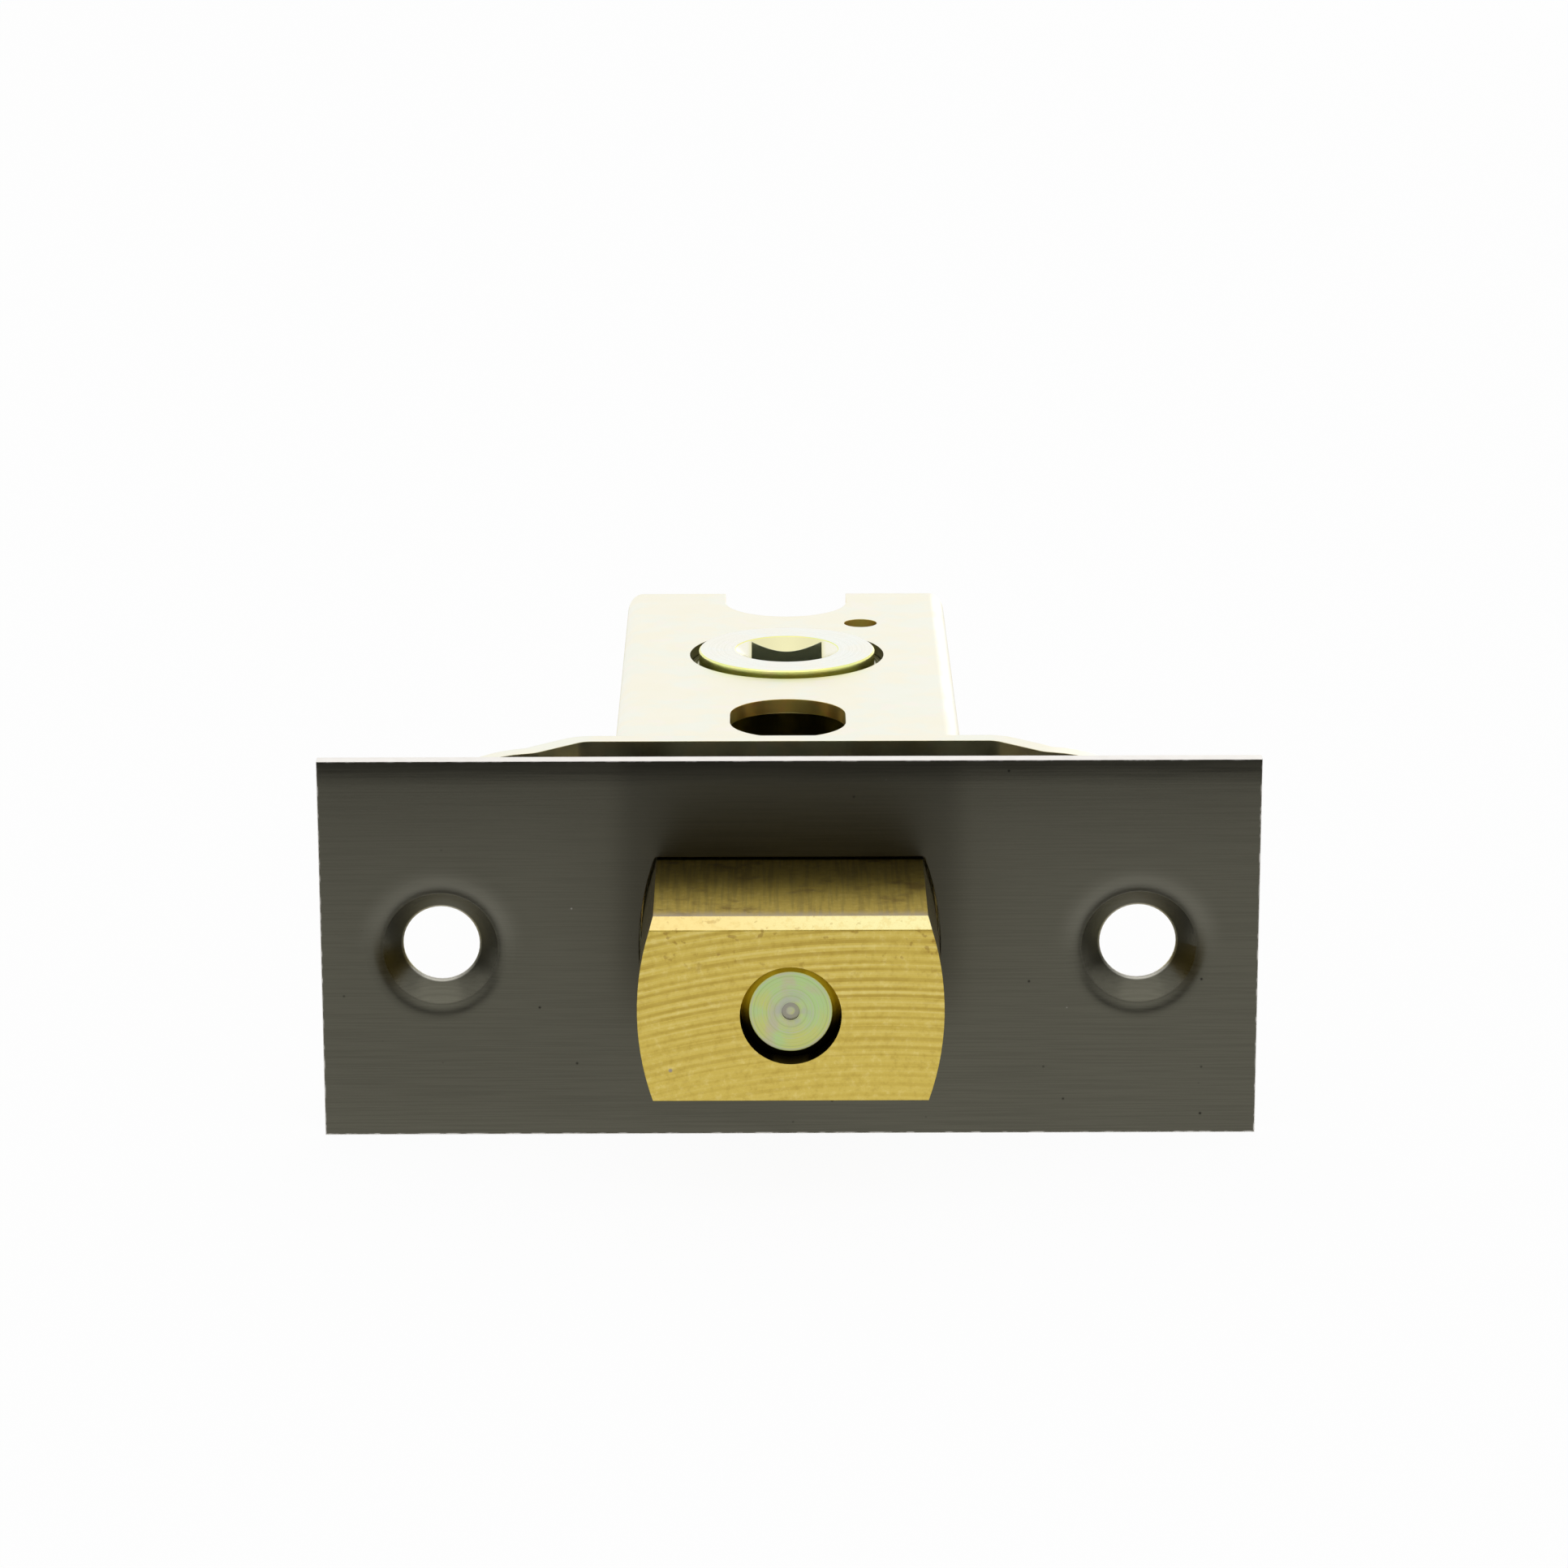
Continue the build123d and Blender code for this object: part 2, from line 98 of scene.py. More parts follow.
class Finish:
    """A material's node tree, with short calls for what the finishes share. Places are in millimetres."""

    def __init__(self, name):
        self.material = bpy.data.materials.new(name)
        self.material.use_nodes = True
        self.tree = self.material.node_tree
        self.shader = self.tree.nodes["Principled BSDF"]
        self.shader.inputs["Metallic"].default_value = 1.0
        coordinates = self.add("ShaderNodeTexCoord")
        scale = self.add("ShaderNodeMapping")
        scale.inputs["Scale"].default_value = (1 / MM, 1 / MM, 1 / MM)
        self.link(coordinates.outputs["Object"], scale.inputs["Vector"])
        self.place = scale.outputs["Vector"]
        self.x, self.y, self.z = self.split(self.place)
        facing = self.split(coordinates.outputs["Normal"])
        self.level = self.math("ABSOLUTE", facing[2])
        rounded = self.add("ShaderNodeBevel", samples=6)
        rounded.inputs["Radius"].default_value = EDGE_ROUNDING_MM * MM
        self.normal = rounded.outputs["Normal"]

    def add(self, kind, **settings):
        node = self.tree.nodes.new(kind)
        for key, value in settings.items():
            setattr(node, key, value)
        return node

    def link(self, source, target):
        self.tree.links.new(source, target)

    def put(self, value, socket):
        """Link a socket, or set a constant on it."""
        if isinstance(value, bpy.types.NodeSocket):
            self.link(value, socket)
        elif isinstance(value, tuple):
            socket.default_value = (*value, 1.0) if len(socket.default_value) == 4 else value
        else:
            socket.default_value = value

    def split(self, vector):
        node = self.add("ShaderNodeSeparateXYZ")
        self.link(vector, node.inputs[0])
        return node.outputs

    def math(self, operation, *values, clamp=False):
        node = self.add("ShaderNodeMath", operation=operation, use_clamp=clamp)
        for value, socket in zip(values, node.inputs):
            self.put(value, socket)
        return node.outputs[0]

    def step(self, value, low, high, start=0.0, end=1.0):
        """Smooth step of a value from low to high."""
        node = self.add("ShaderNodeMapRange", interpolation_type="SMOOTHSTEP")
        for given, socket in zip((value, low, high, start, end), node.inputs):
            self.put(given, socket)
        return node.outputs[0]

    def both(self, first, second):
        return self.math("MULTIPLY", first, second)

    def stretched(self, stretch):
        """The place with each axis times a factor, so that marks run along the small one."""
        node = self.add("ShaderNodeMapping")
        node.inputs["Scale"].default_value = stretch
        self.link(self.place, node.inputs["Vector"])
        return node.outputs["Vector"]

    def noise(self, scale, stretch=(1, 1, 1), detail=3.0, roughness=0.5):
        node = self.add("ShaderNodeTexNoise")
        self.link(self.stretched(stretch), node.inputs["Vector"])
        node.inputs["Scale"].default_value = scale
        node.inputs["Detail"].default_value = detail
        node.inputs["Roughness"].default_value = roughness
        return node.outputs["Fac"]

    def lines(self, along, scale, detail=2.0):
        """Uneven lines across one measure, such as a radius."""
        node = self.add("ShaderNodeTexNoise", noise_dimensions="1D")
        self.link(along, node.inputs["W"])
        node.inputs["Scale"].default_value = scale
        node.inputs["Detail"].default_value = detail
        return node.outputs["Fac"]

    def radius(self, first, second, first_centre=0.0, second_centre=0.0):
        """Distance from an axis, in the plane of two coordinates."""
        a = self.math("SUBTRACT", first, first_centre)
        b = self.math("SUBTRACT", second, second_centre)
        squares = self.math("ADD", self.math("MULTIPLY", a, a), self.math("MULTIPLY", b, b))
        return self.math("SQRT", squares)

    def spot(self, first, second, first_centre, second_centre, inner, outer):
        """A soft round spot at one place."""
        return self.step(self.radius(first, second, first_centre, second_centre), outer, inner)

    def specks(self, scale, size, share):
        """Scattered round specks: scale per millimetre, size and share of the cells that have one."""
        node = self.add("ShaderNodeTexVoronoi")
        self.link(self.place, node.inputs["Vector"])
        node.inputs["Scale"].default_value = scale
        chosen = self.add("ShaderNodeSeparateColor")
        self.link(node.outputs["Color"], chosen.inputs[0])
        has_speck = self.math("LESS_THAN", chosen.outputs[0], share)
        radius = self.math("MULTIPLY", chosen.outputs[1], size)
        inside = self.step(node.outputs["Distance"], radius, 0.0)
        return self.both(has_speck, inside)

    def mix(self, factor, first, second):
        node = self.add("ShaderNodeMix", data_type="RGBA")
        self.put(factor, node.inputs["Factor"])
        self.put(first, node.inputs[6])
        self.put(second, node.inputs[7])
        return node.outputs[2]

    def bump(self, height, depth_mm, normal=None):
        """Bump from a height of 0 to 1 that stands for a depth, on the rounded edges or another bump."""
        node = self.add("ShaderNodeBump")
        node.inputs["Distance"].default_value = depth_mm * MM
        self.link(height, node.inputs["Height"])
        self.link(normal or self.normal, node.inputs["Normal"])
        return node.outputs["Normal"]

    def rolled_edge(self, distance, edge, width):
        """Height that falls away in a parabola over the last stretch before an edge."""
        over = self.math("SUBTRACT", distance, edge - width)
        share = self.math("DIVIDE", over, width, clamp=True)
        return self.math("SUBTRACT", 1.0, self.both(share, share))

    def finish(self, colour, roughness, normal):
        self.put(colour, self.shader.inputs["Base Color"])
        self.put(roughness, self.shader.inputs["Roughness"])
        self.link(normal, self.shader.inputs["Normal"])
        return self.material


def dark_bronze():
    """Satin dark plate: fine lines along the forend, specks, rolled lips, edges worn to the metal, painted
    shade above the bolt and in the countersinks' upper cones, and a painted pale halo round their upper
    rims.
    """
    f = Finish("dark_bronze_plate")
    brush = f.noise(1.0, stretch=(0.12, 2.0, 9.0), detail=4.0, roughness=0.6)
    cloud = f.noise(0.16, detail=3.0)
    grain = f.noise(7.0, detail=2.0)
    colour = f.mix(cloud, (0.105, 0.101, 0.077), (0.114, 0.110, 0.084))
    colour = f.mix(f.step(brush, 0.62, 0.35, 0.0, 0.25), colour, (0.045, 0.043, 0.032))
    colour = f.mix(f.step(grain, 0.60, 0.78, 0.0, 0.30), colour, (0.115, 0.110, 0.095))
    front = f.step(f.y, 0.3, 0.1)
    colour = f.mix(f.both(f.specks(0.8, 0.12, 0.30), front), colour, (0.012, 0.011, 0.009))
    colour = f.mix(f.both(f.specks(0.35, 0.035, 0.35), front), colour, (0.40, 0.39, 0.35))
    across = f.math("ABSOLUTE", f.x)
    upright = f.math("ABSOLUTE", f.z)
    hole = f.radius(across, f.z, SCREW_PLACE_MM, 0.0)
    # Painted highlight: a pale halo round the upper part of each countersink.
    painted_halo = f.step(hole, COUNTERSINK_RADIUS_MM + 2.0, COUNTERSINK_RADIUS_MM + 0.2)
    painted_halo = f.both(painted_halo, f.step(f.z, -1.0, 2.5))
    colour = f.mix(f.math("MULTIPLY", painted_halo, 0.18), colour, (0.32, 0.31, 0.26))
    sunk = f.step(hole, COUNTERSINK_RADIUS_MM + 0.05, COUNTERSINK_RADIUS_MM - 0.15)
    # Painted shade on the upper part of each countersink's cone.
    colour = f.mix(f.both(sunk, f.step(f.z, -0.5, 2.0, 0.0, 0.6)), colour, (0.040, 0.038, 0.030))
    rubbed = f.step(hole, SCREW_HOLE_RADIUS_MM + 0.16, SCREW_HOLE_RADIUS_MM + 0.06, 0.0, 0.7)
    colour = f.mix(rubbed, colour, (0.62, 0.60, 0.53))
    # Painted shade on the plate across the bolt's width, fading in below the bolt's middle and full from
    # there up to the top edge.
    painted_bolt_shade = f.both(f.step(across, 12.0, 9.6), f.step(f.z, -7.0, 0.0))
    colour = f.mix(f.math("MULTIPLY", painted_bolt_shade, 0.40), colour, (0.040, 0.038, 0.030))
    inside_edge = f.math("MINIMUM", f.math("SUBTRACT", FOREND_HALF_LENGTH_MM, across),
                         f.math("SUBTRACT", FOREND_HALF_HEIGHT_MM, upright))
    chips = f.noise(1.1, detail=3.0)
    worn = f.both(f.step(inside_edge, 0.12, 0.02), f.step(chips, 0.45, 0.65, 0.0, 0.7))
    worn = f.math("MAXIMUM", worn, f.step(inside_edge, 0.04, 0.02))
    colour = f.mix(worn, colour, f.mix(chips, (0.82, 0.79, 0.74), (0.95, 0.92, 0.88)))
    roughness = f.step(brush, 0.2, 0.8, 0.36, 0.45)
    roughness = f.step(sunk, 0.0, 1.0, roughness, 0.26)
    normal = f.bump(f.rolled_edge(upright, FOREND_HALF_HEIGHT_MM, LONG_EDGE_ROLL_MM), 0.15)
    normal = f.bump(f.rolled_edge(across, FOREND_HALF_LENGTH_MM, END_EDGE_ROLL_MM), 0.045, normal)
    lip = f.rolled_edge(f.math("MULTIPLY", hole, -1.0), -COUNTERSINK_RADIUS_MM, COUNTERSINK_LIP_MM)
    normal = f.bump(lip, 0.34, normal)
    normal = f.bump(brush, 0.004, normal)
    normal = f.bump(grain, 0.003, normal)
    return f.finish(colour, roughness, normal)


def milled_brass():
    """Brass bar: feed marks of a large cutter on the front face, and draw lines along the bar elsewhere;
    painted shade on its upright sides, at the aperture and low in the bore, and painted light high in the
    bore.
    """
    f = Finish("milled_brass")
    cutter = f.radius(f.x, f.z, *CUTTER_CENTRE_MM)
    uneven = f.lines(cutter, 0.7, detail=1.0)
    turns = f.math("MULTIPLY", cutter, 2 * pi / CUTTER_FEED_MM)
    phase = f.math("ADD", turns, f.math("MULTIPLY", uneven, 5.0))
    feed = f.math("MULTIPLY_ADD", f.math("SINE", phase), 0.5, 0.5)
    fine = f.lines(cutter, 5.0, detail=4.0)
    marks = f.math("ADD", f.math("MULTIPLY", feed, 0.35), f.math("MULTIPLY", fine, 0.65))
    patches = f.noise(0.22, detail=2.0)
    strength = f.both(f.step(patches, 0.32, 0.60, 0.45, 1.0), f.step(f.z, -5.0, 2.0, 0.40, 1.0))
    drawn = f.noise(1.0, stretch=(3.2, 0.12, 3.2), detail=5.0, roughness=0.55)
    stains = f.noise(0.45, detail=4.0, roughness=0.6)
    mottle = f.noise(2.2, detail=5.0, roughness=0.65)
    grain = f.noise(6.0, detail=2.0)
    front = f.step(f.y, BOLT_FRONT_MM + 0.06, BOLT_FRONT_MM + 0.02)
    ahead = f.step(f.y, BOLT_FRONT_MM + 1.1, BOLT_FRONT_MM + 0.7)
    slanting = f.both(f.step(f.level, 0.45, 0.60), f.step(f.level, 0.90, 0.80))
    bevel = f.both(f.both(slanting, ahead), f.step(f.z, BOLT_TOP_MM - 1.0, BOLT_TOP_MM - 0.8))
    upper = f.step(f.z, BOLT_TOP_MM - 5.0, BOLT_TOP_MM - 1.0)
    pits = f.step(f.noise(1.8, detail=2.0), 0.63, 0.72)

    base = f.mix(grain, (0.598, 0.448, 0.088), (0.652, 0.502, 0.114))
    base = f.mix(f.step(mottle, 0.50, 0.30, 0.0, 0.36), base, (0.400, 0.265, 0.045))
    base = f.mix(f.step(mottle, 0.52, 0.70, 0.0, 0.40), base, (0.80, 0.66, 0.24))
    face = f.mix(f.both(f.step(marks, 0.52, 0.30, 0.0, 0.62), strength), base, (0.380, 0.250, 0.040))
    face = f.mix(f.both(f.step(marks, 0.54, 0.78, 0.0, 0.45), strength), face, (0.82, 0.69, 0.26))
    face = f.mix(f.both(pits, f.step(upper, 0.0, 1.0, 0.08, 0.50)), face, (0.26, 0.14, 0.03))
    nick = f.spot(f.x, f.z, *NICK_PLACE_MM, 0.06, 0.17)
    face = f.mix(f.math("MULTIPLY", nick, 0.8), face, (0.27, 0.24, 0.25))
    body = f.mix(f.step(drawn, 0.58, 0.36, 0.0, 0.38), base, (0.27, 0.19, 0.055))
    body = f.mix(f.step(stains, 0.52, 0.72, 0.0, 0.6), body, (0.22, 0.13, 0.035))
    rubbed = f.step(f.math("ADD", f.y, drawn), BOLT_FRONT_MM + 2.6, BOLT_FRONT_MM + 1.0)
    body = f.mix(f.math("MULTIPLY", rubbed, 0.8), body, (0.66, 0.56, 0.43))
    # Painted shade: a dark band round the bolt just behind the forend's face, where it enters the aperture.
    painted_gap_shade = f.both(f.step(f.y, -0.3, 0.0), f.step(f.y, 2.5, 1.5))
    body = f.mix(painted_gap_shade, body, (0.030, 0.022, 0.008))
    # Painted shade: the bar's upright sides darker than its top and bottom.
    body = f.mix(f.step(f.level, 0.50, 0.35, 0.0, 0.6), body, (0.16, 0.12, 0.04))
    # Painted light and shade in the core pin's bore: golden at its top, dark at its bottom.
    bore = f.step(f.radius(f.x, f.z, 0.0, PIN_LEVEL_MM), 3.25, 3.20)
    painted_light_to_shade = f.step(f.z, PIN_LEVEL_MM + 1.0, PIN_LEVEL_MM - 1.5)
    body = f.mix(bore, body, f.mix(painted_light_to_shade, (0.62, 0.49, 0.10), (0.11, 0.08, 0.02)))
    slant = f.mix(f.step(f.x, -8.0, 6.0), (0.77, 0.61, 0.25), (0.76, 0.69, 0.34))
    slant = f.mix(f.step(mottle, 0.55, 0.35, 0.0, 0.35), slant, (0.66, 0.48, 0.16))
    slant = f.mix(f.math("MULTIPLY", pits, 0.35), slant, (0.35, 0.20, 0.05))
    body = f.mix(bevel, body, slant)
    colour = f.mix(front, body, face)
    height = f.mix(front, f.math("MULTIPLY", drawn, 0.5), f.both(marks, strength))
    along = f.step(f.y, BOLT_FRONT_MM + 0.8, -1.0, 0.52, 0.29)
    on_top = f.step(f.level, 0.90, 0.97)
    roughness = f.step(on_top, 0.0, 1.0, 0.26, along)
    roughness = f.step(front, 0.0, 1.0, roughness, f.step(grain, 0.2, 0.8, 0.28, 0.38))
    normal = f.bump(height, 0.003)
    normal = f.bump(mottle, 0.003, normal)
    return f.finish(colour, roughness, normal)


def film_colours(f, yellow, green, rose):
    """Film colours that run into each other."""
    film = f.noise(0.30, detail=3.0, roughness=0.55)
    tint = f.noise(0.55, detail=2.0)
    colour = f.mix(f.step(film, 0.42, 0.62), yellow, green)
    return f.mix(f.step(tint, 0.56, 0.72, 0.0, 0.7), colour, rose)


def yellow_zinc():
    """Yellow passivated zinc on rolled sheet, with light painted in: pale on the outside flats as where
    light washes them out, and golden on walls and cut rims as where light bounces between faces.
    """
    f = Finish("yellow_zinc_plate")
    rolled = f.noise(1.0, stretch=(3.0, 0.15, 3.0), detail=3.0)
    upright = f.math("ABSOLUTE", f.z)
    before_end = f.step(f.y, CASE_END_MM - 0.1, CASE_END_MM - 0.3)
    outside = f.step(upright, CASE_TOP_MM - 0.95, CASE_TOP_MM - 0.85)
    flat = f.both(f.step(f.level, 0.20, 0.50), outside)
    inboard = f.step(f.math("ABSOLUTE", f.x), CASE_HALF_WIDTH_MM - 1.3, CASE_HALF_WIDTH_MM - 1.5)
    inboard = f.both(inboard, f.step(f.y, CASE_FRONT_MM + 0.1, CASE_FRONT_MM + 0.3))
    inboard = f.both(inboard, f.step(upright, CASE_TOP_MM - 1.1, CASE_TOP_MM - 1.0))
    inboard = f.both(inboard, before_end)
    # Painted light: a pale copy of the colour for the lit outside flats, and golden copies for walls and cut
    # rims.
    pale = film_colours(f, (0.935, 0.90, 0.745), (0.905, 0.905, 0.785), (0.94, 0.893, 0.79))
    wall = film_colours(f, (0.74, 0.67, 0.40), (0.68, 0.67, 0.42), (0.74, 0.64, 0.46))
    rim = film_colours(f, (0.92, 0.70, 0.24), (0.80, 0.70, 0.24), (0.94, 0.63, 0.26))
    colour = f.mix(inboard, wall, rim)
    # Painted light: the faces inside the case a brighter gold, as light glowing in through the slot.
    hollow = f.both(f.step(upright, CASE_TOP_MM - 0.98, CASE_TOP_MM - 1.02),
                    f.step(f.math("ABSOLUTE", f.x), CASE_HALF_WIDTH_MM - 0.98, CASE_HALF_WIDTH_MM - 1.02))
    hollow = f.both(f.both(hollow, f.step(f.y, CASE_FRONT_MM, CASE_FRONT_MM + 0.5)), before_end)
    colour = f.mix(hollow, colour, (0.88, 0.75, 0.40))
    # Painted shade round the hub's hole: dark on its far half, gold on its near half.
    at_hub = f.step(f.radius(f.x, f.y, 0.0, SPINDLE_PLACE_MM), 7.6, 7.2)
    shaded = f.step(f.y, SPINDLE_PLACE_MM - 5.0, SPINDLE_PLACE_MM - 2.0)
    colour = f.mix(at_hub, colour, f.mix(shaded, (0.74, 0.68, 0.30), (0.20, 0.18, 0.06)))
    colour = f.mix(flat, colour, pale)
    roughness = f.step(f.noise(0.35, detail=2.0), 0.3, 0.7, 0.28, 0.36)
    height = f.both(rolled, f.step(f.y, CASE_FRONT_MM + 0.1, CASE_FRONT_MM + 1.0))
    return f.finish(colour, roughness, f.bump(height, 0.0015))


def hub_zinc():
    """Turned hub with fine rings on its pale ends; the pale ends and the olive gold on its walls are painted
    light.
    """
    f = Finish("hub_zinc")
    distance = f.radius(f.x, f.y, 0.0, SPINDLE_PLACE_MM)
    grain = f.noise(8.0, detail=2.0)
    flat = f.step(f.level, 0.86, 0.97)
    rings = f.both(f.lines(distance, 5.5, detail=2.0), flat)
    cone = f.both(f.step(f.level, 0.70, 0.78), f.step(f.level, 0.90, 0.86))
    inside = f.step(distance, SPINDLE_CORNER_MM + 0.05, SPINDLE_CORNER_MM)
    # Painted light: a pale copy of the colour for the lit ends, and an olive-gold one for the walls.
    pale = film_colours(f, (0.93, 0.915, 0.82), (0.91, 0.925, 0.86), (0.93, 0.905, 0.85))
    wall = film_colours(f, (0.94, 0.90, 0.32), (0.84, 0.90, 0.35), (0.94, 0.85, 0.42))
    colour = f.mix(flat, wall, pale)
    colour = f.mix(f.both(inside, f.step(f.level, 0.4, 0.2)), colour, (0.56, 0.59, 0.45))
    ahead = f.step(f.math("ABSOLUTE", f.x), 2.9, 2.4)
    cone_colour = f.mix(ahead, (0.92, 0.90, 0.76), (0.83, 0.79, 0.47))
    colour = f.mix(f.both(inside, cone), colour, cone_colour)
    # Painted shade in the groove round the boss.
    groove = f.step(distance, HUB_BOSS_RADIUS_MM + 0.05, HUB_BOSS_RADIUS_MM + 0.15)
    colour = f.mix(groove, colour, (0.12, 0.12, 0.035))
    colour = f.mix(f.step(rings, 0.45, 0.70, 0.0, 0.25), colour, (0.78, 0.77, 0.66))
    roughness = f.step(rings, 0.3, 0.7, 0.26, 0.38)
    normal = f.bump(rings, 0.006)
    normal = f.bump(grain, 0.002, normal)
    return f.finish(colour, roughness, normal)


def pin_zinc():
    """Turned pin end: green and yellow film with grey and rose rings round a bare centre."""
    f = Finish("pin_zinc")
    distance = f.radius(f.x, f.z, 0.0, PIN_LEVEL_MM)
    rings = f.lines(distance, 5.5, detail=2.0)
    grain = f.noise(8.0, detail=2.0)
    colour = film_colours(f, (0.54, 0.56, 0.17), (0.43, 0.59, 0.25), (0.52, 0.45, 0.32))
    silver = f.both(f.step(distance, 1.9, 0.6), f.step(f.noise(0.9, detail=3.0), 0.40, 0.62))
    colour = f.mix(f.math("MULTIPLY", silver, 0.8), colour, (0.41, 0.43, 0.37))
    colour = f.mix(f.step(rings, 0.50, 0.66, 0.0, 0.55), colour, (0.52, 0.51, 0.40))
    colour = f.mix(f.step(rings, 0.46, 0.34, 0.0, 0.45), colour, (0.33, 0.37, 0.17))
    pip = f.both(f.step(distance, 0.62, 0.50), f.step(distance, 0.18, 0.34, 0.2, 1.0))
    colour = f.mix(f.math("MULTIPLY", pip, 0.8), colour, (0.27, 0.25, 0.21))
    # Painted light and shade on the pin's rim: golden at its top, dark at its bottom.
    painted_light_to_shade = f.step(f.z, PIN_LEVEL_MM + 1.0, PIN_LEVEL_MM - 1.5)
    rim = f.mix(painted_light_to_shade, (0.62, 0.53, 0.10), (0.06, 0.05, 0.012))
    colour = f.mix(f.step(distance, 2.52, 2.62), colour, rim)
    roughness = f.step(rings, 0.3, 0.7, 0.28, 0.42)
    normal = f.bump(rings, 0.008)
    normal = f.bump(grain, 0.003, normal)
    return f.finish(colour, roughness, normal)


def drawn_steel(name, dark, light):
    """Drawn steel for the small inner pieces."""
    f = Finish(name)
    drawn = f.noise(2.0, stretch=(3.0, 3.0, 0.6), detail=3.0)
    colour = f.mix(drawn, dark, light)
    roughness = f.step(drawn, 0.2, 0.8, 0.25, 0.42)
    return f.finish(colour, roughness, f.bump(drawn, 0.004))


def dress_nodes():
    """Give every solid its finish."""
    zinc = yellow_zinc()
    steel = drawn_steel("drawn_steel", (0.42, 0.41, 0.38), (0.60, 0.59, 0.56))
    finishes = {
        "outer_forend": dark_bronze(),
        "inner_forend": zinc,
        "case_shell": zinc,
        "case_cover": zinc,
        "tail": zinc,
        "bolt": milled_brass(),
        "core_pin": pin_zinc(),
        "hub": hub_zinc(),
        "tail_rivets": steel,
        "crank_pin": steel,
        "detent_post": drawn_steel("blackened_steel", (0.060, 0.050, 0.030), (0.13, 0.11, 0.065)),
        "detent_spring": steel,
    }
    for node, material in finishes.items():
        mesh = frame["nodes"][node].data
        mesh.materials.clear()
        mesh.materials.append(material)


def seen_directly(tree):
    """1 for camera, glossy and transmission rays, which show the white background, and 0 for others."""
    path = tree.nodes.new("ShaderNodeLightPath")
    total = path.outputs["Is Camera Ray"]
    for kind in ("Is Glossy Ray", "Is Transmission Ray"):
        node = tree.nodes.new("ShaderNodeMath")
        node.operation = "MAXIMUM"
        tree.links.new(total, node.inputs[0])
        tree.links.new(path.outputs[kind], node.inputs[1])
        total = node.outputs[0]
    return total


def make_world():
    """White all round to the eye and in reflections, and a softer light on the part."""
    world = bpy.data.worlds.new("studio")
    bpy.context.scene.world = world
    world.use_nodes = True
    tree = world.node_tree
    background = tree.nodes["Background"]
    background.inputs["Color"].default_value = (1, 1, 1, 1)
    strength = tree.nodes.new("ShaderNodeMapRange")
    strength.inputs["To Min"].default_value = WORLD_ON_PART
    strength.inputs["To Max"].default_value = WORLD_SEEN
    tree.links.new(seen_directly(tree), strength.inputs["Value"])
    tree.links.new(strength.outputs[0], background.inputs["Strength"])


def stage_plane(name, corners, material):
    """A flat piece of the studio, which isn't part of the object."""
    mesh = bpy.data.meshes.new(name)
    mesh.from_pydata(corners, [], [(0, 1, 2, 3)])
    mesh.materials.append(material)
    plane = bpy.data.objects.new(name, mesh)
    bpy.context.scene.collection.objects.link(plane)
    return plane


def make_floor():
    """Plain white floor under the forend's lower edge, which still takes the part's shadow."""
    material = bpy.data.materials.new("white_floor")
    material.use_nodes = True
    tree = material.node_tree
    paper = tree.nodes["Principled BSDF"]
    paper.inputs["Base Color"].default_value = (0.9, 0.9, 0.9, 1)
    paper.inputs["Roughness"].default_value = 0.9
    glow = tree.nodes.new("ShaderNodeEmission")
    mixer = tree.nodes.new("ShaderNodeMixShader")
    share = tree.nodes.new("ShaderNodeMath")
    share.operation = "MULTIPLY"
    share.inputs[1].default_value = FLOOR_GLOW
    tree.links.new(seen_directly(tree), share.inputs[0])
    tree.links.new(share.outputs[0], mixer.inputs[0])
    tree.links.new(paper.outputs[0], mixer.inputs[1])
    tree.links.new(glow.outputs[0], mixer.inputs[2])
    tree.links.new(mixer.outputs[0], tree.nodes["Material Output"].inputs["Surface"])
    signs = ((-1, -1), (1, -1), (1, 1), (-1, 1))
    corners = [(x * FLOOR_REACH, y * FLOOR_REACH, FLOOR_MM * MM) for x, y in signs]
    stage_plane("floor", corners, material)


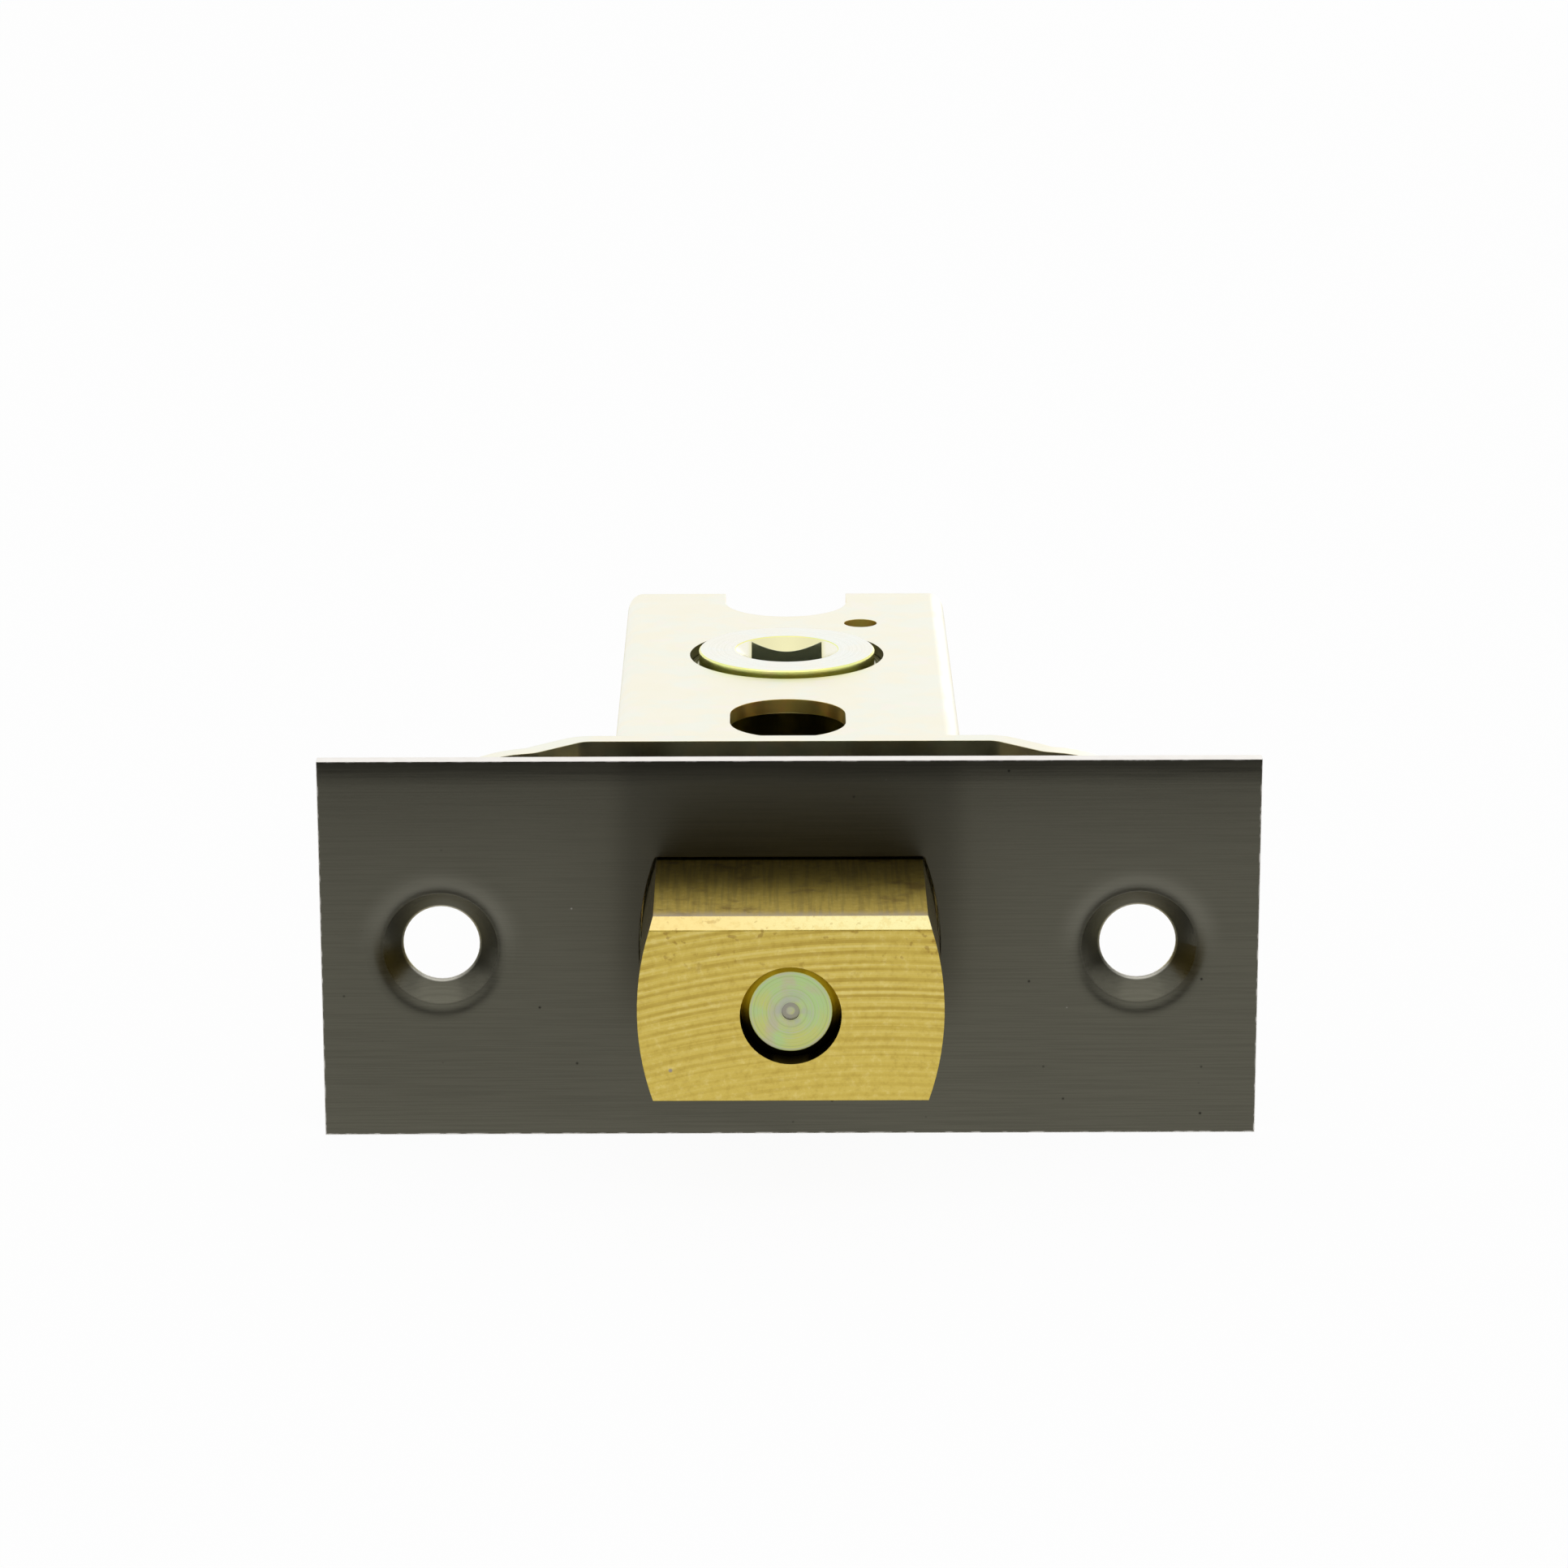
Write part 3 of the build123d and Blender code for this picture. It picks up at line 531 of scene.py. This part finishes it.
def make_front_card():
    """Dark card in front, for the dark side of the room. Only reflections show it."""
    material = bpy.data.materials.new("dark_card")
    material.use_nodes = True
    paper = material.node_tree.nodes["Principled BSDF"]
    paper.inputs["Base Color"].default_value = (0.02, 0.02, 0.018, 1)
    paper.inputs["Roughness"].default_value = 0.9
    corners = [
        (-CARD_HALF_WIDTH, CARD_PLACE, CARD_BOTTOM),
        (CARD_HALF_WIDTH, CARD_PLACE, CARD_BOTTOM),
        (CARD_HALF_WIDTH, CARD_PLACE, CARD_TOP),
        (-CARD_HALF_WIDTH, CARD_PLACE, CARD_TOP),
    ]
    card = stage_plane("front_card", corners, material)
    card.visible_camera = False
    card.visible_diffuse = False
    card.visible_transmission = False
    card.visible_shadow = False


def area_light(name, place, target, size, power):
    light = bpy.data.lights.new(name, "AREA")
    light.shape = "RECTANGLE"
    light.size, light.size_y = size
    light.energy = power
    lamp = bpy.data.objects.new(name, light)
    bpy.context.scene.collection.objects.link(lamp)
    lamp.location = place
    lamp.rotation_euler = (Vector(target) - Vector(place)).to_track_quat("-Z", "Y").to_euler()


def make_lights():
    """A large soft light overhead, a little in front of the part, and a small one behind it on the right."""
    area_light("overhead", **OVERHEAD)
    area_light("behind_right", **BEHIND_RIGHT)


def make_camera():
    azimuth, elevation, roll = (radians(a) for a in (CAMERA_AZIMUTH, CAMERA_ELEVATION, CAMERA_ROLL))
    forward = Vector((sin(azimuth) * cos(elevation), cos(azimuth) * cos(elevation), -sin(elevation)))
    level = Vector((cos(azimuth), -sin(azimuth), 0.0))
    upright = level.cross(forward)
    right = cos(roll) * level + sin(roll) * upright
    up = cos(roll) * upright - sin(roll) * level
    data = bpy.data.cameras.new("camera")
    data.sensor_width = SENSOR_MM
    data.lens = CAMERA_LENS_MM
    camera = bpy.data.objects.new("camera", data)
    bpy.context.scene.collection.objects.link(camera)
    turn = Matrix((right, up, -forward)).transposed().to_4x4()
    camera.matrix_world = Matrix.Translation(Vector(CAMERA_PLACE_MM) * MM) @ turn
    bpy.context.scene.camera = camera


dress_nodes()
make_world()
make_floor()
make_front_card()
make_lights()
make_camera()
bpy.context.scene.view_settings.view_transform = "Standard"
